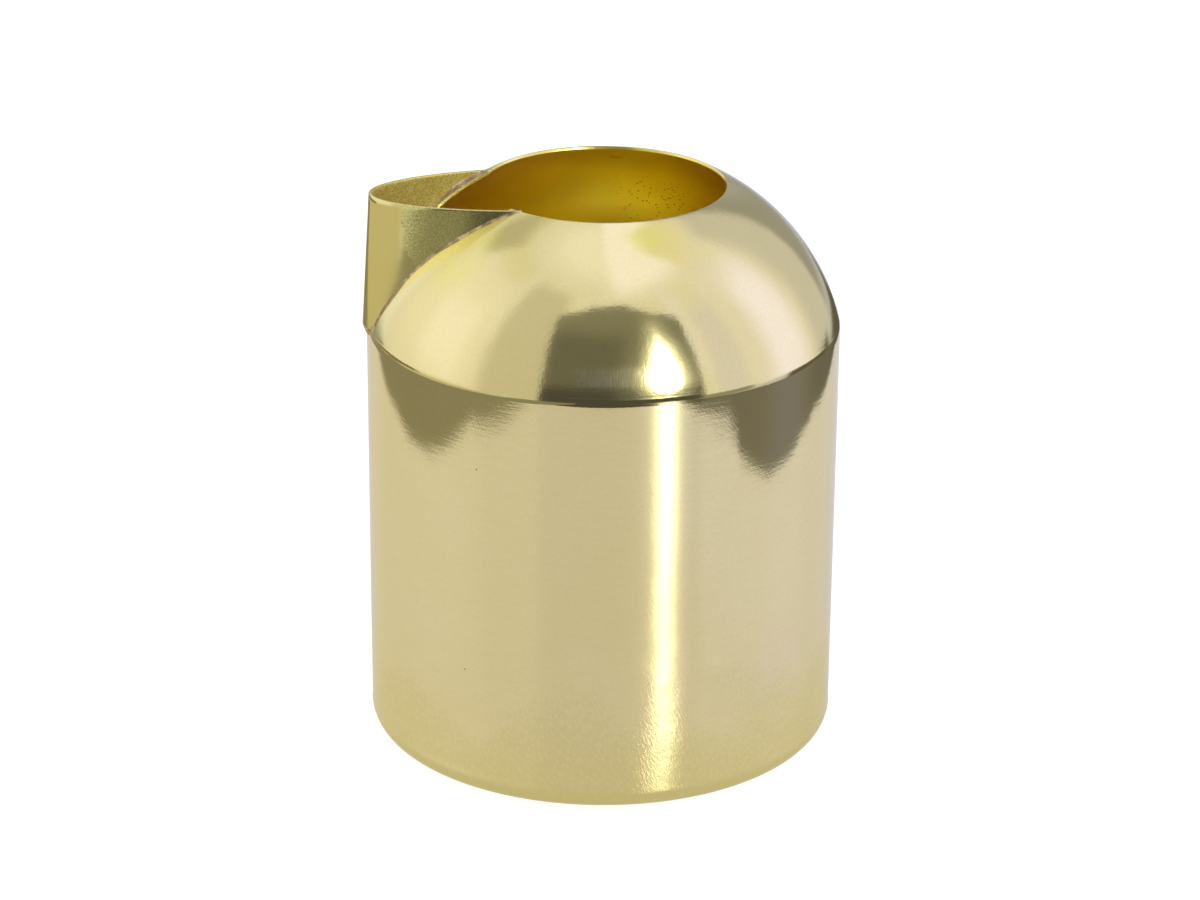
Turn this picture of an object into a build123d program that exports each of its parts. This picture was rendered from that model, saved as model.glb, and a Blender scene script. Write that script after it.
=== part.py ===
from build123d import *
from math import asin, atan2, cos, radians, sin, sqrt, tan
import os

# A small brass pouring jug, built from spun and folded sheet.
# Millimetres, +Z up, origin at the centre of the underside of the base.
# The spout points along -X.

# Body of revolution
body_diameter = 75.0          # outside of the straight wall
overall_height = 91.0         # table to the mouth edge and the top of the spout
shoulder_height = 68.5        # table to the sharp corner where the dome starts
mouth_diameter = 38.4         # outside of the mouth edge
sheet = 0.6                   # thickness of every sheet part
base_corner_radius = 3.3      # outside radius between the wall and the flat base
dome_centre_offset = 3.7      # the dome's arc is struck from this far off the axis

# Spout, a folded sheet whose plan is part of an ellipse
spout_tip_reach = 37.0        # axis of the jug to the outside of the tip, at the top edge
spout_half_length = 27.3      # half the ellipse's long axis, outside
spout_half_width = 10.9       # half the ellipse's short axis, outside
spout_lean = 3.5              # degrees the fold line leans outward on its way down
spout_skew = 3.3              # degrees the plan is turned about the tip, toward -Y
spout_foot_height = 69.6      # table to the lower end of the fold
notch_lip = 0.7               # dome sheet left standing inside the spout
notch_foot_height = 70.5      # table to the bottom of the notch cut in the dome

# Brazed seams
outer_bead_width = 0.4        # how far the outer bead stands out from the spout
outer_bead_rise = 0.8         # outer bead above the outside of the dome
inner_bead_width = 0.6        # how far the inner bead reaches into the channel
inner_bead_rise = 0.65        # inner bead above the outside of the dome
bead_foot_height = 67.4       # table to where the bead under the tip meets the wall
bead_shelf_height = 69.3      # table to where that bead reaches its full rise
inner_bead_foot = 68.8        # table to the bottom of the inner bead
ring_bead_height = 0.95       # bead inside the shoulder seam, each way from the seam
ring_bead_depth = 0.85        # how far that bead stands in from the wall

body_radius = body_diameter / 2
mouth_radius = mouth_diameter / 2
inner_radius = body_radius - sheet
fold_slope = tan(radians(spout_lean))

# The dome's outer arc passes through the shoulder corner and the mouth edge.
shoulder_run = body_radius - dome_centre_offset
mouth_run = mouth_radius - dome_centre_offset
dome_centre_height = (
    mouth_run**2 + overall_height**2 - shoulder_run**2 - shoulder_height**2
) / (2 * (overall_height - shoulder_height))
dome_radius = sqrt(shoulder_run**2 + (shoulder_height - dome_centre_height) ** 2)
mouth_angle = atan2(overall_height - dome_centre_height, mouth_run)

# The inner arc starts from the inside of the cup's wall, so the two meet edge to edge.
inner_dome_radius = sqrt(
    (inner_radius - dome_centre_offset) ** 2
    + (shoulder_height - dome_centre_height) ** 2
)


def dome_point(radius, angle):
    """Point of an arc struck from the dome's centre, in the X-Z plane."""
    return (
        dome_centre_offset + radius * cos(angle),
        dome_centre_height + radius * sin(angle),
    )


def spun(outline):
    """Solid spun about the Z axis from a closed outline in the X-Z plane."""
    with BuildPart() as part:
        with BuildSketch(Plane.XZ):
            with BuildLine():
                outline()
            make_face()
        revolve(axis=Axis.Z)
    return part.part


def cup_outline():
    corner = base_corner_radius
    inner_corner = corner - sheet
    diagonal = sin(radians(45))
    Line((0, 0), (body_radius - corner, 0))
    ThreePointArc(
        (body_radius - corner, 0),
        (body_radius - corner + corner * diagonal, corner - corner * diagonal),
        (body_radius, corner),
    )
    Line((body_radius, corner), (body_radius, shoulder_height))
    Line((body_radius, shoulder_height), (inner_radius, shoulder_height))
    Line((inner_radius, shoulder_height), (inner_radius, corner))
    ThreePointArc(
        (inner_radius, corner),
        (
            body_radius - corner + inner_corner * diagonal,
            corner - inner_corner * diagonal,
        ),
        (body_radius - corner, sheet),
    )
    Line((body_radius - corner, sheet), (0, sheet))
    Line((0, sheet), (0, 0))


def dome_outline():
    foot_rise = shoulder_height - dome_centre_height
    outer_foot = asin(foot_rise / dome_radius)
    inner_foot = asin(foot_rise / inner_dome_radius)
    outer_start = dome_point(dome_radius, outer_foot)
    outer_end = dome_point(dome_radius, mouth_angle)
    inner_start = dome_point(inner_dome_radius, mouth_angle)
    inner_end = dome_point(inner_dome_radius, inner_foot)
    outer_middle = dome_point(dome_radius, (outer_foot + mouth_angle) / 2)
    inner_middle = dome_point(inner_dome_radius, (inner_foot + mouth_angle) / 2)
    ThreePointArc(outer_start, outer_middle, outer_end)
    Line(outer_end, inner_start)
    ThreePointArc(inner_start, inner_middle, inner_end)
    Line(inner_end, outer_start)


def envelope_outline():
    """Outside of the closed body, used to trim the spout and the beads."""
    outer_foot = asin((shoulder_height - dome_centre_height) / dome_radius)
    middle = dome_point(dome_radius, (outer_foot + mouth_angle) / 2)
    Line((0, 1), (body_radius, 1))
    Line((body_radius, 1), (body_radius, shoulder_height))
    ThreePointArc(
        (body_radius, shoulder_height), middle, (mouth_radius, overall_height)
    )
    Line((mouth_radius, overall_height), (0, overall_height))
    Line((0, overall_height), (0, 1))


def bead_form(rise):
    """Outside of the body raised by the height of a bead.

    Below the shoulder it tapers back to the wall, so the bead under the tip of
    the spout runs out smoothly.
    """
    raised = dome_radius + rise
    low = asin((bead_shelf_height - dome_centre_height) / raised)
    high = asin((overall_height - dome_centre_height) / raised)
    start = dome_point(raised, low)
    end = dome_point(raised, high)

    def outline():
        Line((0, 1), (body_radius, 1))
        Line((body_radius, 1), (body_radius, bead_foot_height))
        Line((body_radius, bead_foot_height), start)
        ThreePointArc(start, dome_point(raised, (low + high) / 2), end)
        Line(end, (0, overall_height))
        Line((0, overall_height), (0, 1))

    return spun(outline)


def spout_prism(inset, foot_height):
    """Everything inside the spout's plan, set in by inset, above foot_height.

    The plan slides outward along the leaning fold line on its way down.
    """
    depth = overall_height - foot_height
    tip = Location((-spout_tip_reach, 0, overall_height), (0, 0, -spout_skew))
    centre = tip * Location((spout_half_length, 0, 0))
    plan = centre * Ellipse(spout_half_length - inset, spout_half_width - inset)
    slide = Vector(-fold_slope, 0, -1)
    return extrude(plan, amount=depth * slide.length, dir=slide.normalized())


def make_dome():
    notch = spout_prism(sheet + notch_lip, notch_foot_height)
    return spun(dome_outline) - notch


def make_spout():
    sleeve = spout_prism(0, spout_foot_height) - spout_prism(sheet, spout_foot_height)
    return sleeve - spun(envelope_outline)


def make_outer_bead(spout):
    """Bead round the outside of the spout's foot and under its tip."""
    band = spout_prism(-outer_bead_width, bead_foot_height)
    band -= spout_prism(sheet, bead_foot_height)
    return (band & bead_form(outer_bead_rise)) - spun(envelope_outline) - spout


def make_inner_bead():
    """Bead between the inside of the spout and the lip of the notch."""
    band = spout_prism(sheet, inner_bead_foot)
    band -= spout_prism(sheet + inner_bead_width, inner_bead_foot)
    return (band & bead_form(inner_bead_rise)) - spun(envelope_outline)


def ring_outline():
    rise = shoulder_height + ring_bead_height - dome_centre_height
    foot = asin((shoulder_height - dome_centre_height) / inner_dome_radius)
    top = asin(rise / inner_dome_radius)
    low_end = (inner_radius, shoulder_height - ring_bead_height)
    seam = (inner_radius, shoulder_height)
    high_end = dome_point(inner_dome_radius, top)
    Line(low_end, seam)
    ThreePointArc(seam, dome_point(inner_dome_radius, (foot + top) / 2), high_end)
    ThreePointArc(high_end, (inner_radius - ring_bead_depth, shoulder_height), low_end)


spout = make_spout()
nodes = {
    "cup_body": spun(cup_outline),
    "dome_shoulder": make_dome(),
    "spout": spout,
    "spout_braze_outer": make_outer_bead(spout),
    "spout_braze_inner": make_inner_bead(),
    "shoulder_braze_ring": spun(ring_outline),
}

os.makedirs("parts", exist_ok=True)
for name, shape in nodes.items():
    solids = shape.solids()
    box = shape.bounding_box()
    print(name, len(solids), [round(s.volume, 2) for s in solids], box.min, box.max)
    export_step(shape, f"parts/{name}.step")
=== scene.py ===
import math
import random

import bmesh
import bpy
from mathutils import Matrix, Vector


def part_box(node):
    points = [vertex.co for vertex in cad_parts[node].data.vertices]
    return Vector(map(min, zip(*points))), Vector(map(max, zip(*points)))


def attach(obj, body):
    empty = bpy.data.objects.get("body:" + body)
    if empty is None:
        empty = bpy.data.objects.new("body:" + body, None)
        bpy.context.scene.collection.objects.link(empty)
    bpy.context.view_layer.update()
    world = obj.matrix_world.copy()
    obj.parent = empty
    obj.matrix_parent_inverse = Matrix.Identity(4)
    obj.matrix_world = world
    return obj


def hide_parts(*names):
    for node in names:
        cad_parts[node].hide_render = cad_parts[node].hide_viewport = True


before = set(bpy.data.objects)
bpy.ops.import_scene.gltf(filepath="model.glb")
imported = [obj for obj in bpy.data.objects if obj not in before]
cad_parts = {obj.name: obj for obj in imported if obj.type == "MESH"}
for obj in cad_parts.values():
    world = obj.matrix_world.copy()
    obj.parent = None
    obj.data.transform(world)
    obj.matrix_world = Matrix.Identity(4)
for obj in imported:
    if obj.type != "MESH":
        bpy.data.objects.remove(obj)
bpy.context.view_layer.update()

MM = 0.001

# ---------------------------------------------------------------- dimensions
# Places come from the boxes of the CAD nodes; the rest repeats the part's own numbers.
cup_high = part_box("cup_body")[1]
spout_low, spout_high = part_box("spout")
WALL_R = cup_high.x
SHOULDER_Z = cup_high.z
TOP_Z = spout_high.z
SHEET = 0.6 * MM
INNER_R = WALL_R - SHEET
CORNER_R = 3.3 * MM
MOUTH_R = 19.2 * MM

# The spout's plan is part of an ellipse, turned about its tip; its fold leans out below.
LEAN = math.tan(math.radians(3.5))
FOOT_Z = spout_low.z
TIP_REACH = -spout_low.x - LEAN * (TOP_Z - FOOT_Z)
SKEW = math.radians(3.3)
SKEW_COS, SKEW_SIN = math.cos(SKEW), math.sin(SKEW)
HALF_LENGTH = 27.3 * MM
HALF_WIDTH = 10.9 * MM
NOTCH_INSET = SHEET + 0.7 * MM
NOTCH_Z = 70.5 * MM

# The dome's outside is an arc from the shoulder to the mouth, struck off the axis.
ARC_OFF = 3.7 * MM
shoulder_run = WALL_R - ARC_OFF
mouth_run = MOUTH_R - ARC_OFF
ARC_Z = (mouth_run**2 + TOP_Z**2 - shoulder_run**2 - SHOULDER_Z**2) / (
    2 * (TOP_Z - SHOULDER_Z)
)
ARC_R = math.hypot(shoulder_run, SHOULDER_Z - ARC_Z)
MOUTH_ANGLE = math.atan2(TOP_Z - ARC_Z, mouth_run)
FOOT_ANGLE = math.asin((SHOULDER_Z - ARC_Z) / ARC_R)

# The crease between wall and dome is eased with a small arc, half of it on each piece.
CREASE_R = 4.5 * MM
CREASE_HALF = FOOT_ANGLE / 2
CREASE_TANGENT = CREASE_R * math.tan(CREASE_HALF)
CREASE_LOW = SHOULDER_Z - CREASE_TANGENT
EDGE_ROUND = 0.10 * MM

# ---------------------------------------------------------------- mesh helpers


def smooth_noise(seed, waves):
    """A repeatable smooth function of two numbers, about -1 to 1, from random sines."""
    draw = random.Random(seed)
    terms = []
    for _ in range(waves):
        turn = draw.uniform(0, 2 * math.pi)
        rate = draw.uniform(0.35, 1.0)
        terms.append(
            (rate * math.cos(turn), rate * math.sin(turn), draw.uniform(0, 2 * math.pi))
        )
    scale = 1.6 / math.sqrt(waves)

    def value(a, b):
        return scale * sum(math.sin(u * a + v * b + p) for u, v, p in terms)

    return value


def grid_faces(rows, cols, close_rows, close_cols):
    """Four-sided faces between neighbouring rows and columns of vertices."""
    faces = []
    for i in range(rows if close_rows else rows - 1):
        for j in range(cols if close_cols else cols - 1):
            i2, j2 = (i + 1) % rows, (j + 1) % cols
            faces.append((i * cols + j, i * cols + j2, i2 * cols + j2, i2 * cols + j))
    return faces


def end_caps(rows, cols):
    """Faces that close the first and the last row of a grid."""
    last = (rows - 1) * cols
    return [tuple(range(cols)), tuple(last + k for k in reversed(range(cols)))]


def make_piece(name, verts, faces, materials, node, pick=None):
    """A smooth-shaded piece riding on the root body and standing for a CAD node."""
    mesh = bpy.data.meshes.new(name)
    mesh.from_pydata([tuple(v) for v in verts], [], faces)
    for material in materials:
        mesh.materials.append(material)
    obj = bpy.data.objects.new(name, mesh)
    bpy.context.scene.collection.objects.link(obj)
    if pick:
        for face in mesh.polygons:
            face.material_index = pick(face)
    work = bmesh.new()
    work.from_mesh(mesh)
    bmesh.ops.remove_doubles(work, verts=work.verts, dist=1e-7)
    bmesh.ops.recalc_face_normals(work, faces=work.faces)
    work.to_mesh(mesh)
    work.free()
    mesh.polygons.foreach_set("use_smooth", [True] * len(mesh.polygons))
    mesh.set_sharp_from_angle(angle=math.radians(50))
    mesh.update()
    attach(obj, "root")
    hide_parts(node)
    return obj


def arc_point(radius, angle):
    return ARC_OFF + radius * math.cos(angle), ARC_Z + radius * math.sin(angle)


def crease_point(angle):
    """Point of the arc that eases the crease, from 0 at the wall to FOOT_ANGLE at the dome."""
    return (
        WALL_R - CREASE_R + CREASE_R * math.cos(angle),
        CREASE_LOW + CREASE_R * math.sin(angle),
    )


def dome_radius_at(z):
    """Distance from the axis to the outside of the dome."""
    return ARC_OFF + math.sqrt(max(ARC_R**2 - (z - ARC_Z) ** 2, 0.0))


def plan_point(turn, inset, z):
    """Point of the spout's wall: s along the spout from the axis, w to its +Y side."""
    a = (HALF_LENGTH - inset) * math.cos(turn) - HALF_LENGTH
    b = (HALF_WIDTH - inset) * math.sin(turn)
    s = TIP_REACH + a * SKEW_COS - b * SKEW_SIN + LEAN * (TOP_Z - z)
    return s, a * SKEW_SIN + b * SKEW_COS


# ---------------------------------------------------------------- notch and columns


def in_notch(angle, theta):
    """Whether a spot of the dome's outside lies in the notch under the spout."""
    r, z = arc_point(ARC_R, angle)
    if z < NOTCH_Z or abs(theta) > math.pi / 2:
        return False
    s = r * math.cos(theta) - TIP_REACH - LEAN * (TOP_Z - z)
    w = r * math.sin(theta)
    a = (s * SKEW_COS + w * SKEW_SIN + HALF_LENGTH) / (HALF_LENGTH - NOTCH_INSET)
    b = (w * SKEW_COS - s * SKEW_SIN) / (HALF_WIDTH - NOTCH_INSET)
    return a * a + b * b < 1


def edge_angle(theta):
    """Where the dome's sheet ends in the half plane at theta: at the mouth or the notch."""
    steps = 220
    low = FOOT_ANGLE
    for k in range(1, steps + 1):
        high = FOOT_ANGLE + (MOUTH_ANGLE - FOOT_ANGLE) * k / steps
        if in_notch(high, theta):
            for _ in range(30):
                middle = (low + high) / 2
                if in_notch(middle, theta):
                    high = middle
                else:
                    low = middle
            return high
        low = high
    return MOUTH_ANGLE


def notch_end(side):
    """Angle at which the notch meets the mouth, on the +Y side or the -Y side."""
    low, high = math.radians(10), math.radians(60)
    for _ in range(40):
        middle = (low + high) / 2
        if edge_angle(middle * side) < MOUTH_ANGLE - 1e-9:
            low = middle
        else:
            high = middle
    return high


def half_columns(side):
    """Angles from the spout round one side, closer together where the notch is."""
    end = notch_end(side)
    half = []
    theta = 0.0
    while theta < end - math.radians(0.15):
        half.append(theta)
        theta += math.radians(0.35 if theta < math.radians(8) else 0.5)
    half += [end - math.radians(0.05), end]
    theta = end + math.radians(0.3)
    while theta < math.pi - math.radians(0.4):
        half.append(theta)
        theta += math.radians(0.8)
    return [side * t for t in half]


def column_angles():
    return half_columns(1) + [math.pi] + half_columns(-1)[:0:-1]


COLUMNS = column_angles()


def lathe(rings):
    """Vertices of rings, each a function of the column's angle that gives (r, z)."""
    verts = []
    for ring in rings:
        for theta in COLUMNS:
            r, z = ring(theta)
            verts.append((-r * math.cos(theta), r * math.sin(theta), z))
    return verts


# ---------------------------------------------------------------- material helpers


class Nodes:
    """Short ways to add and join shader nodes."""

    def __init__(self, tree):
        self.tree = tree
        tree.nodes.clear()

    def add(self, kind, **settings):
        node = self.tree.nodes.new(kind)
        for key, value in settings.items():
            setattr(node, key, value)
        return node

    def join(self, source, target):
        self.tree.links.new(source, target)

    def feed(self, socket, value):
        if isinstance(value, bpy.types.NodeSocket):
            self.join(value, socket)
        else:
            socket.default_value = value

    def math(self, operation, *values, clamp=False):
        node = self.add("ShaderNodeMath", operation=operation, use_clamp=clamp)
        for socket, value in zip(node.inputs, values):
            self.feed(socket, value)
        return node.outputs[0]

    def times(self, a, b, clamp=False):
        return self.math("MULTIPLY", a, b, clamp=clamp)

    def plus(self, a, b):
        return self.math("ADD", a, b)

    def minus(self, a, b):
        return self.math("SUBTRACT", a, b)

    def length(self, a, b):
        """Square root of the sum of two squares."""
        return self.math("SQRT", self.plus(self.times(a, a), self.times(b, b)))

    def parts(self, vector):
        """The x, y and z of a vector."""
        split = self.add("ShaderNodeSeparateXYZ")
        self.join(vector, split.inputs[0])
        return split.outputs

    def place(self):
        """Where the shaded spot is on the object, in metres."""
        return self.add("ShaderNodeTexCoord").outputs["Object"]

    def step(self, value, low, high, out_low=0.0, out_high=1.0):
        """Smooth step of value from out_low at low to out_high at high."""
        node = self.add("ShaderNodeMapRange", interpolation_type="SMOOTHSTEP")
        self.feed(node.inputs["Value"], value)
        for key, number in (
            ("From Min", low),
            ("From Max", high),
            ("To Min", out_low),
            ("To Max", out_high),
        ):
            self.feed(node.inputs[key], number)
        return node.outputs[0]

    def mix(self, factor, a, b):
        node = self.add("ShaderNodeMix", data_type="RGBA")
        self.feed(node.inputs[0], factor)
        self.feed(node.inputs[6], a)
        self.feed(node.inputs[7], b)
        return node.outputs[2]

    def combine(self, x, y, z):
        node = self.add("ShaderNodeCombineXYZ")
        for socket, value in zip(node.inputs, (x, y, z)):
            self.feed(socket, value)
        return node.outputs[0]

    def noise(self, vector, scale, detail=2.0, roughness=0.5):
        """Soft noise about 0.5; scale is in waves per metre of the vector."""
        node = self.add("ShaderNodeTexNoise")
        self.feed(node.inputs["Vector"], vector)
        node.inputs["Scale"].default_value = scale
        node.inputs["Detail"].default_value = detail
        node.inputs["Roughness"].default_value = roughness
        return node.outputs["Fac"]

    def bump(self, height, distance, normal=None):
        """A shaded relief as deep as distance, added to the relief in normal."""
        node = self.add("ShaderNodeBump")
        node.inputs["Strength"].default_value = 1.0
        node.inputs["Distance"].default_value = distance
        self.feed(node.inputs["Height"], height)
        if normal is not None:
            self.join(normal, node.inputs["Normal"])
        return node.outputs[0]


def grey(value):
    return (value, value, value, 1.0)


def new_material(name):
    material = bpy.data.materials.new(name)
    material.use_nodes = True
    return material, Nodes(material.node_tree)


def around(n):
    """Coordinates that follow the spinning: place, turn in radians, height and reach in mm."""
    coords = n.place()
    x, y, z = n.parts(coords)
    turn = n.math("ARCTAN2", y, n.times(x, -1.0))
    return coords, turn, n.times(z, 1 / MM), n.times(n.length(x, y), 1 / MM)


BRASS = (0.90, 0.79, 0.42, 1.0)
BRASS_DEEP = (0.86, 0.74, 0.35, 1.0)
YELLOW = (0.86, 0.80, 0.26, 1.0)
PALE_REFLECTION_TINT = (0.98, 0.92, 0.52, 1.0)
AMBER = (1.0, 0.885, 0.22, 1.0)
AMBER_DEEP = (0.99, 0.845, 0.14, 1.0)
OLIVE = (0.76, 0.66, 0.27, 1.0)
ROSE = (0.86, 0.70, 0.44, 1.0)
DARK_SPECK = (0.20, 0.12, 0.04, 1.0)


def blob(n, coords, centre, radius, edge):
    """1 within radius of a centre given in mm, fading out over a soft, ragged edge."""
    away = n.add("ShaderNodeVectorMath", operation="DISTANCE")
    n.join(coords, away.inputs[0])
    away.inputs[1].default_value = [v * MM for v in centre]
    far = n.times(away.outputs["Value"], 1 / MM)
    far = n.plus(far, n.times(n.noise(coords, 260.0, 3.0), edge))
    return n.step(far, radius, radius + edge, 1.0, 0.0)


def dots(n, coords, per_metre, size):
    """Small round marks, one somewhere in each cell of a random pattern."""
    cells = n.add("ShaderNodeTexVoronoi", feature="F1")
    n.join(coords, cells.inputs["Vector"])
    cells.inputs["Scale"].default_value = per_metre
    return n.step(cells.outputs["Distance"], size * 0.6, size, 1.0, 0.0)


def spout_ratio(n, coords):
    """1 on the outside of the spout's plan, more outside it and less within."""
    x, w, z = n.parts(coords)
    drop = n.times(n.minus(TOP_Z, z), LEAN)
    s = n.minus(n.minus(n.times(x, -1.0), TIP_REACH), drop)
    a = n.plus(n.times(s, SKEW_COS), n.times(w, SKEW_SIN))
    b = n.minus(n.times(w, SKEW_COS), n.times(s, SKEW_SIN))
    a = n.math("DIVIDE", n.plus(a, HALF_LENGTH), HALF_LENGTH)
    b = n.math("DIVIDE", b, HALF_WIDTH)
    return n.length(a, b)


def finish_metal(n, colour, roughness, normal, metallic=1.0):
    shader = n.add("ShaderNodeBsdfPrincipled")
    n.join(colour, shader.inputs["Base Color"])
    n.join(roughness, shader.inputs["Roughness"])
    n.join(normal, shader.inputs["Normal"])
    shader.inputs["Metallic"].default_value = metallic
    shader.inputs["Specular Tint"].default_value = (1.0, 0.97, 0.86, 1.0)
    out = n.add("ShaderNodeOutputMaterial")
    n.join(shader.outputs[0], out.inputs[0])


def wall_material():
    """Brass brushed round the axis, crinkled and scratched toward the bottom."""
    material, n = new_material("wall_brass_outside")
    coords, turn, z, reach = around(n)
    # fine brushing round the axis
    ridges = n.noise(n.combine(n.times(turn, 9.0), n.times(z, 2.0), reach), 1.0, 3.0, 0.6)
    # slanting crinkles and broad waves, strongest low down
    slanted = n.plus(n.times(turn, WALL_R / MM), n.times(z, 2.2))
    crossed = n.minus(n.times(turn, WALL_R / MM), n.times(z, 0.5))
    crinkle = n.noise(n.combine(n.times(crossed, 2.6), n.times(slanted, 0.35), 0.0), 1.0, 3.0, 0.65)
    low = n.plus(z, n.times(n.noise(coords, 60.0), 44.0))
    low = n.step(low, 30.0, 60.0, 1.0, 0.0)
    crinkle = n.times(crinkle, n.plus(n.times(low, 0.85), 0.15))
    waves = n.times(n.noise(coords, 75.0), n.plus(n.times(low, 0.8), 0.2))
    pinhole = n.times(dots(n, coords, 130.0, 0.03), n.step(n.noise(coords, 60.0), 0.5, 0.6))
    # cloudy brass, an olive painted shade at the base corner standing for the shaded floor it
    # reflects, and rosy low on the front
    colour = n.mix(n.noise(coords, 45.0), BRASS, BRASS_DEEP)
    # painted shade: olive toward the base corner, where the brass reflects the floor shaded by the
    # body
    colour = n.mix(n.times(n.step(z, 0.4, 5.0, 1.0, 0.0), 0.8), colour, OLIVE)
    haze = blob(n, coords, (24.6, -28.3, 20.0), 4.0, 13.0)
    colour = n.mix(n.times(haze, 0.55), colour, ROSE)
    lines = n.times(n.step(crinkle, 0.34, 0.56), 0.5)
    colour = n.mix(lines, colour, OLIVE)
    streaks = n.times(n.step(ridges, 0.42, 0.62), 0.10)
    colour = n.mix(streaks, colour, OLIVE)
    grain = n.minus(n.noise(coords, 2000.0, 1.0), 0.40)
    colour = n.mix(n.times(grain, 0.6, clamp=True), colour, OLIVE)
    colour = n.mix(pinhole, colour, DARK_SPECK)
    rough = n.plus(0.05, n.times(ridges, 0.03))
    normal = n.bump(ridges, 0.0038 * MM)
    normal = n.bump(crinkle, 0.03 * MM, normal)
    normal = n.bump(waves, 0.22 * MM, normal)
    finish_metal(n, colour, rough, normal)
    return material


def dome_material():
    """Smoother spun brass with yellow tarnish, and a paler painted reflection beside the spout's
    braze.
    """
    material, n = new_material("dome_brass_outside")
    coords, turn, z, reach = around(n)
    spun = n.combine(n.times(turn, 6.0), n.times(z, 3.0), n.times(reach, 3.0))
    ridges = n.noise(spun, 1.0, 2.0, 0.5)
    grain = n.noise(coords, 2200.0, 1.0, 0.5)
    waves = n.noise(coords, 95.0)
    # a band of upright brushing just above the seam, at the front only
    brush = n.noise(n.combine(n.times(turn, 150.0), n.times(z, 0.5), 0.0), 1.0, 2.0, 0.6)
    rim = n.times(n.step(z, 70.0, 71.2), n.step(z, 73.0, 74.8, 1.0, 0.0))
    rim = n.times(rim, blob(n, coords, (-5.7, -36.0, 71.8), 6.0, 11.0))
    brush = n.times(brush, rim)
    colour = n.mix(n.noise(coords, 55.0), BRASS, BRASS_DEEP)
    spots = (
        # centre in mm, radius, soft edge, amount of yellow
        ((-25.5, -15.0, 83.0), 3.0, 7.0, 0.7),
        ((-20.0, -14.5, 87.5), 2.0, 4.0, 0.6),
        ((3.0, -22.0, 89.2), 2.5, 5.0, 0.75),
        ((13.0, -22.0, 87.3), 1.5, 4.0, 0.3),
        ((30.0, 12.0, 80.0), 2.0, 9.0, 0.5),
        ((6.0, 30.0, 80.0), 3.0, 8.0, 0.5),
    )
    for centre, radius, edge, amount in spots:
        mask = n.times(blob(n, coords, centre, radius, edge), amount)
        colour = n.mix(mask, colour, YELLOW)
    # a band beside the spout's braze, painted paler and yellower as a painted reflection of the
    # spout's wall, and made rougher
    seam = n.step(spout_ratio(n, coords), 1.06, 1.26, 1.0, 0.0)
    colour = n.mix(n.times(seam, 0.9), colour, PALE_REFLECTION_TINT)
    brushed = n.times(n.step(brush, 0.30, 0.62), 0.7)
    colour = n.mix(brushed, colour, (0.95, 0.90, 0.70, 1.0))
    fine = n.minus(grain, 0.40)
    colour = n.mix(n.times(fine, 0.6, clamp=True), colour, OLIVE)
    rough = n.plus(0.085, n.times(grain, 0.04))
    rough = n.plus(rough, n.times(rim, 0.08))
    rough = n.plus(rough, n.times(seam, 0.12))
    normal = n.bump(ridges, 0.004 * MM)
    normal = n.bump(grain, 0.005 * MM, normal)
    normal = n.bump(brush, 0.015 * MM, normal)
    normal = n.bump(waves, 0.10 * MM, normal)
    finish_metal(n, colour, rough, normal)
    return material


def inside_material():
    """Inside of the body: bright pickled brass, grainy, with painted glints of the lamp as pale
    raised dots, and dark specks.
    """
    material, n = new_material("body_brass_inside")
    coords, turn, z, _ = around(n)
    grain = n.noise(coords, 2600.0, 2.0, 0.6)
    soft = n.noise(coords, 120.0)
    bands = n.noise(n.combine(n.times(turn, 0.6), n.times(z, 0.35), 0.0), 1.0, 1.0)
    colour = n.mix(n.times(soft, 0.7), AMBER, AMBER_DEEP)
    speck_area = blob(n, coords, (13.0, 29.5, 77.5), 6.0, 9.0)
    specks = n.times(dots(n, coords, 1300.0, 0.26), speck_area)
    specks = n.times(specks, n.step(n.noise(coords, 420.0), 0.36, 0.48))
    colour = n.mix(n.times(specks, 0.9), colour, DARK_SPECK)
    # painted highlight: pale dots where the lamp glints off the grain at the back left
    lamp_glint_area = blob(n, coords, (-10.0, 30.5, 79.0), 5.0, 10.0)
    glint_dots = n.times(dots(n, coords, 1500.0, 0.26), lamp_glint_area)
    colour = n.mix(n.times(glint_dots, 0.6), colour, (1.0, 0.95, 0.75, 1.0))
    rough = n.plus(0.2, n.times(n.plus(soft, bands), 0.1))
    normal = n.bump(grain, 0.02 * MM)
    normal = n.bump(glint_dots, 0.05 * MM, normal)
    normal = n.bump(bands, 0.12 * MM, normal)
    finish_metal(n, colour, rough, normal)
    return material


def spout_outside_material():
    """Folded sheet, smooth at the fold and left with a sanded grain toward the body."""
    material, n = new_material("spout_brass_outside")
    coords = n.place()
    x, _, z = n.parts(coords)
    # the grain ends at a ragged upright edge, further out low down
    ragged = n.times(n.noise(coords, 700.0, 3.0, 0.6), 1.6 * MM)
    edge = n.plus(x, ragged)
    edge = n.plus(edge, n.times(n.step(z, 76.0 * MM, 85.0 * MM, 1.0, 0.0), -5.0 * MM))
    toward = n.step(edge, -31.9 * MM, -31.3 * MM)
    fine = n.noise(coords, 2600.0, 2.0, 0.6)
    tones = n.noise(coords, 90.0)
    colour = n.mix(tones, (0.89, 0.79, 0.37, 1.0), (0.85, 0.74, 0.31, 1.0))
    mottled = n.noise(coords, 4600.0, 1.0, 0.5)
    mottled = n.mix(n.step(mottled, 0.3, 0.7), (0.97, 0.90, 0.40, 1.0), (0.70, 0.65, 0.25, 1.0))
    colour = n.mix(toward, colour, mottled)
    rough = n.plus(0.10, n.times(toward, 0.06))
    normal = n.bump(n.times(fine, toward), 0.012 * MM)
    normal = n.bump(tones, 0.06 * MM, normal)
    finish_metal(n, colour, rough, normal)
    return material


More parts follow.
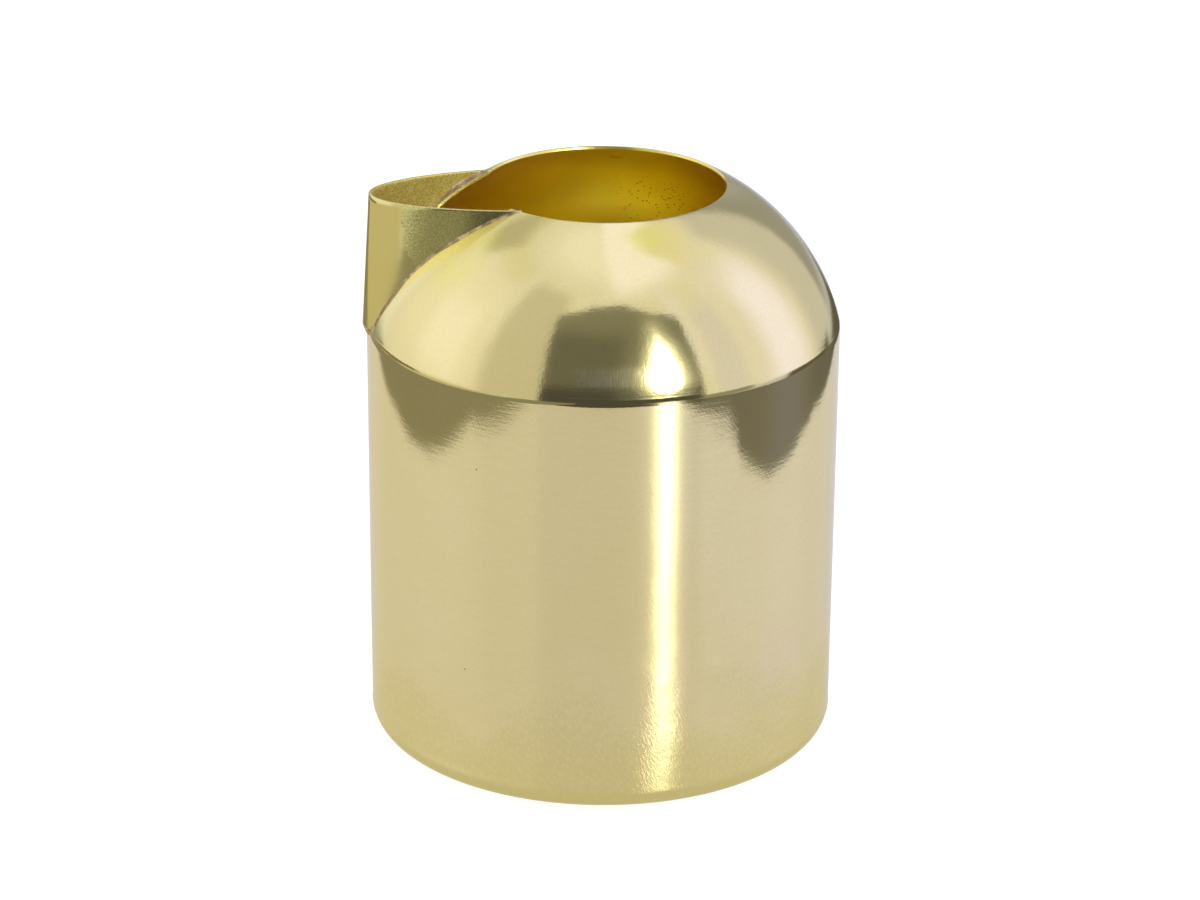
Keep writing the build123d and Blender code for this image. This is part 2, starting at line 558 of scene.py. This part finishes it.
def spout_inside_material():
    """Inside of the spout: coarse sanded grain that glitters."""
    material, n = new_material("spout_brass_inside")
    coords = n.place()
    coarse = n.noise(coords, 3300.0, 2.0, 0.65)
    fine = n.noise(coords, 4200.0, 1.0, 0.5)
    patch = n.noise(coords, 200.0, 2.0, 0.5)
    colour = n.mix(n.step(coarse, 0.40, 0.60), (0.78, 0.62, 0.12, 1.0), (1.0, 0.90, 0.30, 1.0))
    colour = n.mix(n.times(n.step(patch, 0.5, 0.62), 0.2), colour, (0.70, 0.55, 0.13, 1.0))
    rough = n.plus(0.46, n.times(fine, 0.2))
    normal = n.bump(coarse, 0.04 * MM)
    normal = n.bump(fine, 0.01 * MM, normal)
    finish_metal(n, colour, rough, normal)
    return material


def braze_material(name, dull, bright, lump):
    """Brazing alloy, brown with scale, small lumps and brighter rubbed spots."""
    material, n = new_material(name)
    coords = n.place()
    lumps = n.noise(coords, 1100.0, 3.0, 0.6)
    stain = n.noise(coords, 620.0, 2.0, 0.6)
    colour = n.mix(n.step(stain, 0.40, 0.62), dull, bright)
    rough = n.plus(0.26, n.times(lumps, 0.3))
    finish_metal(n, colour, rough, n.bump(lumps, lump * MM), 0.92)
    return material


wall_outside = wall_material()
dome_outside = dome_material()
body_inside = inside_material()
spout_outside = spout_outside_material()
spout_inside = spout_inside_material()
braze_outside = braze_material(
    "braze_outside", (0.36, 0.26, 0.13, 1.0), (0.70, 0.56, 0.30, 1.0), 0.10
)
braze_inside = braze_material(
    "braze_inside", (0.42, 0.27, 0.16, 1.0), (0.66, 0.48, 0.28, 1.0), 0.14
)

# ---------------------------------------------------------------- cup

dent = smooth_noise(11, 14)
ripple = smooth_noise(12, 16)


def wall_dent(theta, z):
    """How far the wall sits inside its true radius, in metres: small spinning marks."""
    around_mm = theta * WALL_R / MM
    height_mm = z / MM
    low = max(0.0, min(1.0, (34.0 - height_mm) / 26.0))
    broad = 0.012 * (1 + dent(around_mm / 7.0, height_mm / 9.0))
    fine = 0.010 * low * (1 + ripple(around_mm / 2.4, height_mm / 3.6))
    fade = min(1.0, max(0.0, (SHOULDER_Z / MM - 1.5 - height_mm) / 5.0))
    return MM * fade * max(broad + fine, 0.0)


def cup_rings():
    """Rings from the middle of the underside, up the outside and down the inside."""
    rings = []

    def ring(r, z, dented=False):
        if dented:
            rings.append(lambda theta: (r - wall_dent(theta, z), z))
        else:
            rings.append(lambda theta: (r, z))

    for r in (0.0, 4.0, 9.0, 15.0, 21.0, 27.0, 31.0, 33.6, 34.1):
        ring(r * MM, 0.0)
    for k in range(15):
        a = math.radians(90 * k / 14)
        ring(
            WALL_R - CORNER_R + CORNER_R * math.sin(a),
            CORNER_R - CORNER_R * math.cos(a),
        )
    z = CORNER_R + 0.4 * MM
    while z < CREASE_LOW - 0.9 * MM:
        ring(WALL_R, z, True)
        z += 0.8 * MM
    ring(WALL_R, CREASE_LOW - 0.06 * MM)
    for k in range(4):
        ring(*crease_point(CREASE_HALF * k / 3))
    _, seam_z = crease_point(CREASE_HALF)
    ring(INNER_R, seam_z)
    for k in range(1, 16):
        ring(INNER_R, seam_z + (CORNER_R - seam_z) * k / 15)
    inner_corner = CORNER_R - SHEET
    for k in range(1, 9):
        a = math.radians(90 * (1 - k / 8))
        ring(
            WALL_R - CORNER_R + inner_corner * math.sin(a),
            CORNER_R - inner_corner * math.cos(a),
        )
    for r in (33.8, 32.0, 27.0, 20.0, 13.0, 7.0, 3.0, 0.0):
        ring(r * MM, SHEET)
    return rings


def build_cup():
    rings = cup_rings()
    verts = lathe(rings)
    cols = len(COLUMNS)
    faces = grid_faces(len(rings), cols, False, True)
    inner_from = next(
        i for i, ring in enumerate(rings) if i > 30 and ring(0.0)[0] <= INNER_R + 1e-9
    )

    def pick(face):
        return 1 if min(face.vertices) // cols >= inner_from else 0

    return make_piece(
        "cup_shell",
        verts,
        faces,
        [wall_outside, body_inside],
        "cup_body",
        pick,
    )


# ---------------------------------------------------------------- dome


def build_dome():
    """Rings from the seam up the outside, round the mouth's edge and down the inside."""
    start_angle = FOOT_ANGLE + CREASE_TANGENT / ARC_R
    inner_radius = math.hypot(INNER_R - ARC_OFF, SHOULDER_Z - ARC_Z)
    inner_foot = math.asin((SHOULDER_Z - ARC_Z) / inner_radius)
    ends = {theta: edge_angle(theta) for theta in COLUMNS}
    rings = []
    for k in range(4):
        rings.append(lambda theta, p=crease_point(CREASE_HALF * (1 + k / 3)): p)
    for u in [0.004] + [k / 64 for k in range(1, 64)] + [0.994]:

        def outer(theta, u=u):
            end = ends[theta] - EDGE_ROUND / ARC_R
            return arc_point(ARC_R, start_angle + (end - start_angle) * u)

        rings.append(outer)
    mouth_edge = (
        # how far back from the end of the sheet, how far below its outside
        (EDGE_ROUND, 0.0),
        (EDGE_ROUND * 0.3, EDGE_ROUND * 0.3),
        (0.0, EDGE_ROUND),
        (0.0, SHEET * 0.42),
        (0.0, SHEET - EDGE_ROUND),
        (EDGE_ROUND * 0.3, SHEET - EDGE_ROUND * 0.3),
        (EDGE_ROUND, SHEET),
    )
    for back, deep in mouth_edge:

        def edge(theta, back=back, deep=deep):
            return arc_point(ARC_R - deep, ends[theta] - back / ARC_R)

        rings.append(edge)
    inner_start = len(rings) - 4
    for u in [0.996] + [k / 40 for k in range(39, 0, -1)] + [0.0]:

        def inner(theta, u=u):
            end = ends[theta] - EDGE_ROUND / ARC_R
            radius = inner_radius + (ARC_R - SHEET - inner_radius) * u
            return arc_point(radius, inner_foot + (end - inner_foot) * u)

        rings.append(inner)
    verts = lathe(rings)
    cols = len(COLUMNS)
    faces = grid_faces(len(rings), cols, True, True)

    def pick(face):
        rows = [v // cols for v in face.vertices]
        closes_the_foot = min(rows) == 0 and max(rows) > 1
        return 1 if min(rows) >= inner_start or closes_the_foot else 0

    return make_piece(
        "dome_shell",
        verts,
        faces,
        [dome_outside, body_inside],
        "dome_shoulder",
        pick,
    )


# ---------------------------------------------------------------- spout


def foot_height(turn, inset, lowest):
    """Height at which a line down the spout's wall meets the outside of the dome."""
    low, high = lowest, TOP_Z
    s, w = plan_point(turn, inset, low)
    if math.hypot(s, w) > dome_radius_at(low):
        return lowest
    for _ in range(40):
        z = (low + high) / 2
        s, w = plan_point(turn, inset, z)
        if math.hypot(s, w) > dome_radius_at(z):
            high = z
        else:
            low = z
    return low


def spout_end(side, inset):
    """Turn at which the top of the spout's wall runs into the mouth's edge."""
    low, high = math.radians(30), math.radians(110)
    for _ in range(40):
        middle = (low + high) / 2
        if math.hypot(*plan_point(middle * side, inset, TOP_Z)) > MOUTH_R:
            low = middle
        else:
            high = middle
    return low


def plan_turns(steps, inset, margin=0.0):
    """Turns round the plan, closer together at the tip where it bends most."""
    ends = {side: spout_end(side, inset) - margin for side in (1, -1)}
    turns = []
    for k in range(steps + 1):
        u = 2 * k / steps - 1
        turns.append(ends[1 if u > 0 else -1] * (0.45 * u + 0.55 * u * abs(u)))
    return turns


def build_spout():
    """Columns round the plan, each up the outside, over the top edge and down the inside."""
    embed = 0.06 * MM
    rows = 26
    top = TOP_Z - EDGE_ROUND
    shortest = 0.01 * MM
    verts = []
    turns = plan_turns(160, 0.0, math.radians(-0.6))
    for turn in turns:
        sunk = embed * (abs(turn) > 0.3)
        outer_foot = foot_height(turn, 0.0, FOOT_Z) - sunk
        inner_foot = foot_height(turn, SHEET, FOOT_Z) - sunk
        outer_low = min(outer_foot, top - shortest)
        inner_low = min(inner_foot, top - shortest)
        column = []
        for k in range(rows):
            column.append((0.0, outer_low + (top - outer_low) * (k / (rows - 1))))
        column += [
            (EDGE_ROUND * 0.3, TOP_Z - EDGE_ROUND * 0.3),
            (EDGE_ROUND, TOP_Z),
            (SHEET / 2, TOP_Z),
            (SHEET - EDGE_ROUND, TOP_Z),
            (SHEET - EDGE_ROUND * 0.3, TOP_Z - EDGE_ROUND * 0.3),
        ]
        for k in range(rows):
            column.append((SHEET, inner_low + (top - inner_low) * (1 - k / (rows - 1))))
        for inset, z in column:
            s, w = plan_point(turn, inset, z)
            verts.append((-s, w, z))
    cols = len(column)
    faces = grid_faces(len(turns), cols, False, True) + end_caps(len(turns), cols)

    def pick(face):
        is_cap = len(face.vertices) > 4
        places = [v % cols for v in face.vertices]
        return 1 if not is_cap and min(places) >= rows + 4 else 0

    return make_piece(
        "spout_sheet",
        verts,
        faces,
        [spout_outside, spout_inside],
        "spout",
        pick,
    )


# ---------------------------------------------------------------- brazed beads


def body_normal(point):
    """Outward normal of the closed body near a point, and the nearest point on it."""
    r = math.hypot(point.x, point.y)
    out = Vector((point.x / r, point.y / r, 0.0))
    if point.z <= SHOULDER_Z:
        return out, out * WALL_R + Vector((0, 0, point.z))
    away = Vector((r - ARC_OFF, point.z - ARC_Z)).normalized()
    normal = out * away.x + Vector((0, 0, away.y))
    spot = out * (ARC_OFF + ARC_R * away.x) + Vector((0, 0, ARC_Z + ARC_R * away.y))
    return normal, spot


def spout_normal(turn, inset):
    """Level outward normal of the spout's wall."""
    a = math.cos(turn) / (HALF_LENGTH - inset)
    b = math.sin(turn) / (HALF_WIDTH - inset)
    along, across = a * SKEW_COS - b * SKEW_SIN, a * SKEW_SIN + b * SKEW_COS
    return Vector((-along, across, 0.0)).normalized()


def tube_piece(name, sections, material, node, closed=False):
    """A solid bead through its cross-sections, closed round the axis or capped."""
    verts = [p for section in sections for p in section]
    cols = len(sections[0])
    faces = grid_faces(len(sections), cols, closed, True)
    if not closed:
        faces += end_caps(len(sections), cols)
    return make_piece(name, verts, faces, [material], node)


def bead_sections(inset, side, climb, reach, tip_drop, lowest, seed):
    """Cross-sections of a bead in the corner between the spout's wall and the dome.

    side is 1 outside the spout and -1 inside; climb and reach give the bead's size
    at the mouth and at the tip, up the wall and out over the dome.
    """
    lump_up = smooth_noise(seed, 10)
    lump_out = smooth_noise(seed + 1, 10)
    rim = TOP_Z - 0.03 * MM
    steps_across = 8
    sections = []
    for turn in plan_turns(300, inset, math.radians(0.2)):
        z = foot_height(turn, inset, lowest)
        s, w = plan_point(turn, inset, z)
        foot = Vector((-s, w, z))
        tip = math.exp(-((turn / math.radians(15.0)) ** 2))
        near = max(0.0, 1 - abs(turn) / math.radians(76.0))
        along = turn * 22.0
        up = (climb[0] + (climb[1] - climb[0]) * near) * (1 + 0.22 * lump_up(along * 1.6, 0))
        out = (reach[0] + (reach[1] - reach[0]) * near) * (1 + 0.28 * lump_out(along * 1.3, 1))
        face = spout_normal(turn, inset) * side
        wall_top = foot + Vector((LEAN, 0, 1)) * up
        if wall_top.z > TOP_Z:
            wall_top = foot + Vector((LEAN, 0, 1)) * max(TOP_Z - foot.z, 0.0)
        away = foot + face * out - Vector((0, 0, tip_drop * tip))
        normal, low_end = body_normal(away)
        corner = foot + (wall_top - foot) * 0.25 + (low_end - foot) * 0.25
        if side > 0:
            corner = corner.lerp(foot - Vector((0, 0, 0.9 * MM)) - face * 0.05 * MM, tip)
        section = []
        for q in range(steps_across + 1):
            t = q / steps_across
            section.append(wall_top * (1 - t) ** 2 + corner * 2 * t * (1 - t) + low_end * t**2)
        section.append(low_end - normal * 0.12 * MM)
        section.append(foot - face * 0.15 * MM - normal * 0.1 * MM)
        section.append(wall_top - face * 0.12 * MM)
        sections.append([Vector((p.x, p.y, min(p.z, rim))) for p in section])
    return sections


def build_outer_bead():
    sections = bead_sections(
        0.0, 1, (0.30 * MM, 0.6 * MM), (0.34 * MM, 0.7 * MM), 1.9 * MM, FOOT_Z, 31
    )
    return tube_piece(
        "braze_bead_outside", sections, braze_outside, "spout_braze_outer"
    )


def build_inner_bead():
    sections = bead_sections(
        SHEET, -1, (0.55 * MM, 0.8 * MM), (0.45 * MM, 0.55 * MM), 0.0, 70.2 * MM, 41
    )
    return tube_piece(
        "braze_bead_inside", sections, braze_inside, "spout_braze_inner"
    )


def build_ring_bead():
    """A half-round bead behind the seam, sunk a little into the sheet on both sides."""
    lumps = smooth_noise(51, 12)
    root = INNER_R + 0.05 * MM
    sections = []
    count = 240
    for k in range(count):
        theta = 2 * math.pi * k / count
        swell = 1 + 0.15 * math.sin(7 * theta + 0.6) * lumps(math.cos(theta) * 6, math.sin(theta) * 6)
        out = Vector((math.cos(theta), math.sin(theta), 0))
        section = []
        for q in range(9):
            a = math.pi * q / 8
            r = root - 0.8 * MM * swell * math.sin(a)
            z = SHOULDER_Z - 0.85 * MM * swell * math.cos(a)
            limit = dome_radius_at(z) - SHEET * 0.7 if z > SHOULDER_Z else root
            section.append(out * min(r, limit) + Vector((0, 0, z)))
        sections.append(section)
    return tube_piece(
        "braze_bead_shoulder", sections, braze_inside, "shoulder_braze_ring", True
    )


build_cup()
build_dome()
build_spout()
build_outer_bead()
build_inner_bead()
build_ring_bead()

# ---------------------------------------------------------------- camera

VIEW_AZIMUTH = math.radians(-9.0)
VIEW_ELEVATION = math.radians(22.103)
VIEW_ROLL = math.radians(0.441)
VIEW_DISTANCE = 0.6209
VIEW_HEIGHT = 0.04591
VIEW_SHIFT = -0.00038
LENS = 115.866

back = Vector(
    (
        math.sin(VIEW_AZIMUTH) * math.cos(VIEW_ELEVATION),
        -math.cos(VIEW_AZIMUTH) * math.cos(VIEW_ELEVATION),
        math.sin(VIEW_ELEVATION),
    )
)
right = Vector((math.cos(VIEW_AZIMUTH), math.sin(VIEW_AZIMUTH), 0.0))
up = back.cross(right)
rolled_right = right * math.cos(VIEW_ROLL) + up * math.sin(VIEW_ROLL)
rolled_up = up * math.cos(VIEW_ROLL) - right * math.sin(VIEW_ROLL)
place = Vector((0, 0, VIEW_HEIGHT)) + right * VIEW_SHIFT + back * VIEW_DISTANCE
camera_data = bpy.data.cameras.new("camera")
camera_data.lens = LENS
camera_data.sensor_width = 36.0
camera_data.sensor_fit = "HORIZONTAL"
camera_data.clip_start = 0.01
camera_data.clip_end = 20.0
camera = bpy.data.objects.new("camera", camera_data)
bpy.context.scene.collection.objects.link(camera)
camera.matrix_world = Matrix(
    (
        (rolled_right.x, rolled_up.x, back.x, place.x),
        (rolled_right.y, rolled_up.y, back.y, place.y),
        (rolled_right.z, rolled_up.z, back.z, place.z),
        (0, 0, 0, 1),
    )
)
bpy.context.scene.camera = camera

# ---------------------------------------------------------------- studio


def studio_world():
    """A soft white tent with brighter side panels, a dark opening and one lamp in it.

    Azimuth is counted from the front of the studio, positive to the right.
    """
    world = bpy.data.worlds.new("studio_tent")
    world.use_nodes = True
    n = Nodes(world.node_tree)
    direction = n.add("ShaderNodeTexCoord").outputs["Generated"]
    x, y, z = n.parts(direction)
    c, s = math.cos(VIEW_AZIMUTH), math.sin(VIEW_AZIMUTH)
    sideways = n.plus(n.times(x, c), n.times(y, s))
    forward = n.plus(n.times(x, s), n.times(y, -c))
    azimuth = n.math("DEGREES", n.math("ARCTAN2", sideways, forward))
    elevation = n.math("DEGREES", n.math("ARCSINE", z))

    def span(value, low, high, soft_low, soft_high):
        """1 between low and high, falling to 0 over the soft widths."""
        rise = n.step(value, low - soft_low / 2, low + soft_low / 2)
        fall = n.step(value, high - soft_high / 2, high + soft_high / 2, 1.0, 0.0)
        return n.times(rise, fall)

    panels = (
        # azimuth low, high, softness; elevation low, high, softness; colour
        # ceiling
        ((-200, 200, 2), (73, 120, 18), (0.97, 0.97, 1.07)),
        ((8, 220, 30), (63, 120, 16), (1.07, 1.07, 1.38)),
        ((88, 146, 16), (54, 77, 10), (0.86, 0.85, 0.72)),
        ((-137, -72, 12), (51, 64, 8), (0.78, 0.77, 0.66)),
        # left side, then its back
        ((-124, -64, 30), (-2, 48, 36), (0.96, 0.95, 0.96)),
        ((-101, -75, 12), (2, 33, 18), (1.05, 1.04, 1.16)),
        ((-61, -28, 10), (-10, 62, 9), (0.65, 0.63, 0.58)),
        ((-200, -122, 24), (22, 46, 20), (0.85, 0.82, 0.52)),
        ((-200, -112, 12), (46, 61, 9), (0.55, 0.54, 0.46)),
        # right side, then its back
        ((44, 57, 6), (14, 60, 12), (0.86, 0.86, 1.02)),
        ((57, 74, 6), (-10, 46, 12), (0.76, 0.76, 0.96)),
        ((74, 150, 14), (-10, 58, 14), (0.86, 0.85, 1.00)),
        ((89, 113, 16), (-8, 44, 22), (1.05, 1.05, 1.65)),
        ((122, 200, 14), (-16, 55, 10), (0.64, 0.65, 0.78)),
        ((146, 200, 6), (-20, 63, 12), (0.35, 0.36, 0.42)),
        ((-200, -177, 8), (-16, 63, 12), (0.35, 0.36, 0.42)),
        # near and below the level of the table
        ((-200, -50, 10), (-60, -9, 8), (0.60, 0.56, 0.42)),
        ((60, 200, 10), (-60, -7, 8), (0.58, 0.62, 0.82)),
        ((48, 75, 6), (-14, -1, 3), (0.30, 0.30, 0.28)),
        ((98, 136, 6), (-18, -6.5, 2.5), (0.12, 0.11, 0.08)),
        ((134, 166, 6), (-18, -10, 3), (0.12, 0.11, 0.08)),
        ((-160, -98, 6), (-12.5, -7, 2), (0.20, 0.19, 0.12)),
        ((-172, -150, 8), (-60, 18, 20), (0.10, 0.10, 0.08)),
    )
    # what is seen in the opening, above and below the lamp
    opening = (
        ((-40, 60, 2), (43, 62, 14), (0.235, 0.235, 0.21)),
        ((-40, 60, 4), (-30, 15, 7), (0.075, 0.075, 0.08)),
    )
    colour = (0.83, 0.83, 0.84, 1.0)
    dark = (0.155, 0.155, 0.14, 1.0)

    def cover(under, group):
        for (a0, a1, a_soft), (e0, e1, e_soft), tint in group:
            mask = span(elevation, e0, e1, e_soft, e_soft)
            mask = n.times(mask, span(azimuth, a0, a1, a_soft, a_soft))
            under = n.mix(mask, under, (*tint, 1.0))
        return under

    colour = cover(colour, panels)
    dark = cover(dark, opening)
    # the lamp is a tall wedge, narrower toward its top, with a glow on both sides
    narrow = n.step(elevation, 10.0, 44.0, 6.5, 0.7)
    off = n.math("ABSOLUTE", n.minus(azimuth, 31.0))
    beside = n.minus(off, narrow)
    for reach, spill in ((23.0, (0.32, 0.325, 0.30)), (10.5, (0.95, 0.97, 0.88))):
        halo = n.step(beside, -1.0, reach, 1.0, 0.0)
        halo = n.times(halo, span(elevation, 11.0, 43.0, 8.0, 22.0))
        dark = n.mix(halo, dark, (*spill, 1.0))
    # the opening has an arched, slightly wavy top
    off = n.minus(azimuth, 5.0)
    arch = n.plus(elevation, n.math("DIVIDE", n.times(off, off), 160.0))
    arch = n.plus(arch, n.times(n.noise(direction, 9.0), 2.4))
    window = n.times(n.step(arch, 57.4, 59.8, 1.0, 0.0), span(azimuth, -30.5, 48.5, 2.6, 2.6))
    window = n.times(window, n.step(elevation, -13.0, -10.0))
    colour = n.mix(window, colour, dark)
    across = n.step(beside, -5.0, 6.0, 1.0, 0.0)
    lamp = n.times(across, span(elevation, 13.0, 39.0, 8.0, 26.0))
    lamp = n.math("POWER", lamp, 3.0)
    colour = n.mix(lamp, colour, (33.0, 33.2, 34.5, 1.0))
    shader = n.add("ShaderNodeBackground")
    n.join(colour, shader.inputs["Color"])
    shader.inputs["Strength"].default_value = 1.0
    out = n.add("ShaderNodeOutputWorld")
    n.join(shader.outputs[0], out.inputs[0])
    bpy.context.scene.world = world


def flat_sheet(name, outline, z, material):
    """A level sheet; its outline is counted from the axis, to the right and to the back."""
    corners = []
    for x, y in outline:
        right = Vector((math.cos(VIEW_AZIMUTH), math.sin(VIEW_AZIMUTH), 0))
        forward = Vector((-math.sin(VIEW_AZIMUTH), math.cos(VIEW_AZIMUTH), 0))
        corners.append(tuple(right * x + forward * y + Vector((0, 0, z))))
    mesh = bpy.data.meshes.new(name)
    mesh.from_pydata(corners, [], [tuple(range(len(corners)))])
    mesh.materials.append(material)
    obj = bpy.data.objects.new(name, mesh)
    bpy.context.scene.collection.objects.link(obj)
    return obj


def floor_material():
    material, n = new_material("floor_white")
    shader = n.add("ShaderNodeBsdfPrincipled")
    shader.inputs["Base Color"].default_value = grey(0.35)
    shader.inputs["Roughness"].default_value = 0.9
    shader.inputs["Specular IOR Level"].default_value = 0.0
    shader.inputs["Emission Color"].default_value = grey(1.0)
    shader.inputs["Emission Strength"].default_value = 0.85
    out = n.add("ShaderNodeOutputMaterial")
    n.join(shader.outputs[0], out.inputs[0])
    return material


def table_material(name, tint, tint_right, gloss):
    """What the brass sees of the table: its own brightness and a faint mirror image."""
    material, n = new_material(name)
    x, y, _ = n.parts(n.place())
    glow = n.add("ShaderNodeEmission")
    turned = n.step(x, 0.0, 0.09)
    colour = n.mix(turned, (*tint, 1.0), (*tint_right, 1.0))
    warm = n.mix(n.step(n.length(x, y), 0.036, 0.075), (1.0, 0.99, 0.84, 1.0), grey(1.0))
    node = n.add("ShaderNodeMix", data_type="RGBA", blend_type="MULTIPLY")
    node.inputs[0].default_value = 1.0
    n.join(colour, node.inputs[6])
    n.join(warm, node.inputs[7])
    n.join(node.outputs[2], glow.inputs["Color"])
    mirror = n.add("ShaderNodeBsdfGlossy")
    mirror.inputs["Roughness"].default_value = 0.235
    fresnel = n.add("ShaderNodeFresnel")
    fresnel.inputs["IOR"].default_value = 1.5
    blank = n.add("ShaderNodeBsdfDiffuse")
    blank.inputs["Color"].default_value = grey(0.0)
    sheen = n.add("ShaderNodeMixShader")
    n.join(n.times(fresnel.outputs[0], gloss), sheen.inputs[0])
    n.join(blank.outputs[0], sheen.inputs[1])
    n.join(mirror.outputs[0], sheen.inputs[2])
    both = n.add("ShaderNodeAddShader")
    n.join(glow.outputs[0], both.inputs[0])
    n.join(sheen.outputs[0], both.inputs[1])
    out = n.add("ShaderNodeOutputMaterial")
    n.join(both.outputs[0], out.inputs[0])
    return material


def only_in_reflections(obj):
    obj.visible_camera = False
    obj.visible_diffuse = False
    obj.visible_shadow = False
    obj.visible_transmission = False


studio_world()

# A pale floor for the camera; the brass sees a white paper card on darker ones instead.
floor = flat_sheet("floor", ((-3, -3), (3, -3), (3, 3), (-3, 3)), -0.0006, floor_material())
floor.visible_glossy = False
LEFT, RIGHT, FRONT, BACK = -0.166, 0.162, -0.222, 0.26
OUT = 0.255
cards = (
    # name, outline, drop in mm, near colour, colour 0.15 m to the right, gloss
    (
        "paper",
        (
            (-0.118, BACK),
            (LEFT, 0.055),
            (LEFT, -0.095),
            (-0.089, FRONT),
            (0.096, FRONT),
            (RIGHT, -0.106),
            (RIGHT, -0.088),
            (RIGHT - 0.006, -0.08),
            (RIGHT - 0.007, -0.03),
            (RIGHT + 0.002, 0.034),
            (RIGHT - 0.002, 0.07),
            (0.067, BACK),
        ),
        0.2,
        (0.64, 0.62, 0.67),
        (0.65, 0.65, 0.82),
        1.0,
    ),
    (
        "left",
        ((-OUT, BACK), (-OUT, -0.7), (-0.06, -0.7), (-0.06, -0.2), (-0.13, -0.05), (-0.1, BACK)),
        0.4,
        (0.25, 0.24, 0.19),
        (0.25, 0.24, 0.19),
        0.2,
    ),
    (
        "right",
        ((OUT, BACK), (OUT, -0.7), (0.09, -0.7), (0.09, -0.2), (0.12, -0.05), (0.06, BACK)),
        0.4,
        (0.12, 0.115, 0.09),
        (0.055, 0.05, 0.035),
        0.2,
    ),
    (
        "front",
        ((-0.09, FRONT), (-0.09, -0.7), (0.12, -0.7), (0.12, FRONT)),
        0.3,
        (0.07, 0.07, 0.065),
        (0.07, 0.07, 0.065),
        0.2,
    ),
)
for name, outline, drop, tint, tint_right, gloss in cards:
    surface = table_material("table_" + name + "_surface", tint, tint_right, gloss)
    only_in_reflections(flat_sheet("table_" + name, outline, -drop * MM, surface))

scene = bpy.context.scene
scene.view_settings.view_transform = "Standard"
scene.view_settings.look = "None"
scene.view_settings.exposure = 0.0
scene.view_settings.gamma = 1.0
scene.cycles.max_bounces = 32
scene.cycles.glossy_bounces = 32
scene.cycles.diffuse_bounces = 3
scene.cycles.use_denoising = True
